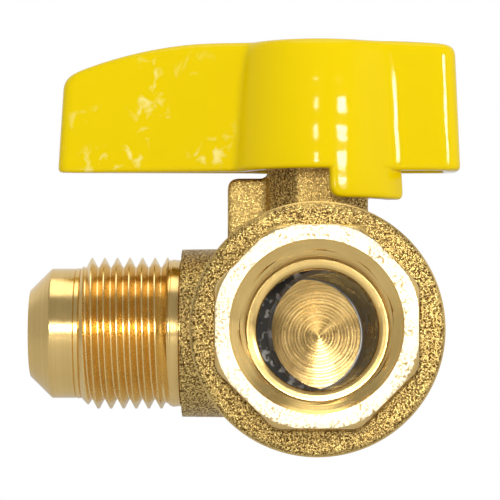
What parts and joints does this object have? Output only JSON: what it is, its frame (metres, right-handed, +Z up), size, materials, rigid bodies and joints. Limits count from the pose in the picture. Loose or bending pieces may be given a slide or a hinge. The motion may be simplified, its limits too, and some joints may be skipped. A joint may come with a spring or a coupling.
{
  "type": "gas valve",
  "caption": "Angle-pattern quarter-turn gas ball valve: female pipe port, 45 degree flare outlet, and a yellow wedge lever on the stem.",
  "frame": {"origin": "centre of the female pipe port's mouth, in the plane of the octagon's front face", "axes": "+Y runs into the port, +Z runs up the stem, -X runs out of the flare outlet; the lever is stored open, along the flare outlet"},
  "size_m": [0.0536, 0.045, 0.052],
  "materials": {
    "forged_brass": "shot-blasted forging, fine sparkling grain; threads and cone turned bright",
    "machined_brass": "turned and faced, with a shot-blasted flange",
    "stem_brass": "fine turned",
    "chrome_plate": "polished plating",
    "yellow_coating": "glossy epoxy coating with slight orange peel",
    "ptfe": "waxy white",
    "black_rubber": "smooth moulded",
    "zinc_steel": "zinc plated"
  },
  "bodies": {
    "body": {"valve_body": "forged_brass", "end_cap": "machined_brass", "cap_seal_ring": "black_rubber", "front_seat": "ptfe", "rear_seat": "ptfe", "stem_thrust_washer": "ptfe"},
    "lever": {"handle": "yellow_coating", "stem": "stem_brass", "handle_screw": "zinc_steel", "lock_washer": "zinc_steel", "stem_o_ring_lower": "black_rubber", "stem_o_ring_upper": "black_rubber"},
    "ball": {"ball": "chrome_plate"}
  },
  "joints": [
    {"name": "handle_turn", "type": "hinge", "parent": "body", "child": "lever", "pos_m": [0, 0.026, 0], "axis": [0, 0, 1], "range_deg": [-90, 0]},
    {"name": "ball_turn", "type": "hinge", "parent": "body", "child": "ball", "pos_m": [0, 0.026, 0], "axis": [0, 0, 1], "range_deg": [-90, 0]}
  ],
  "couplings": [
    {"joint": "ball_turn", "follows": "handle_turn", "ratio": 1}
  ]
}
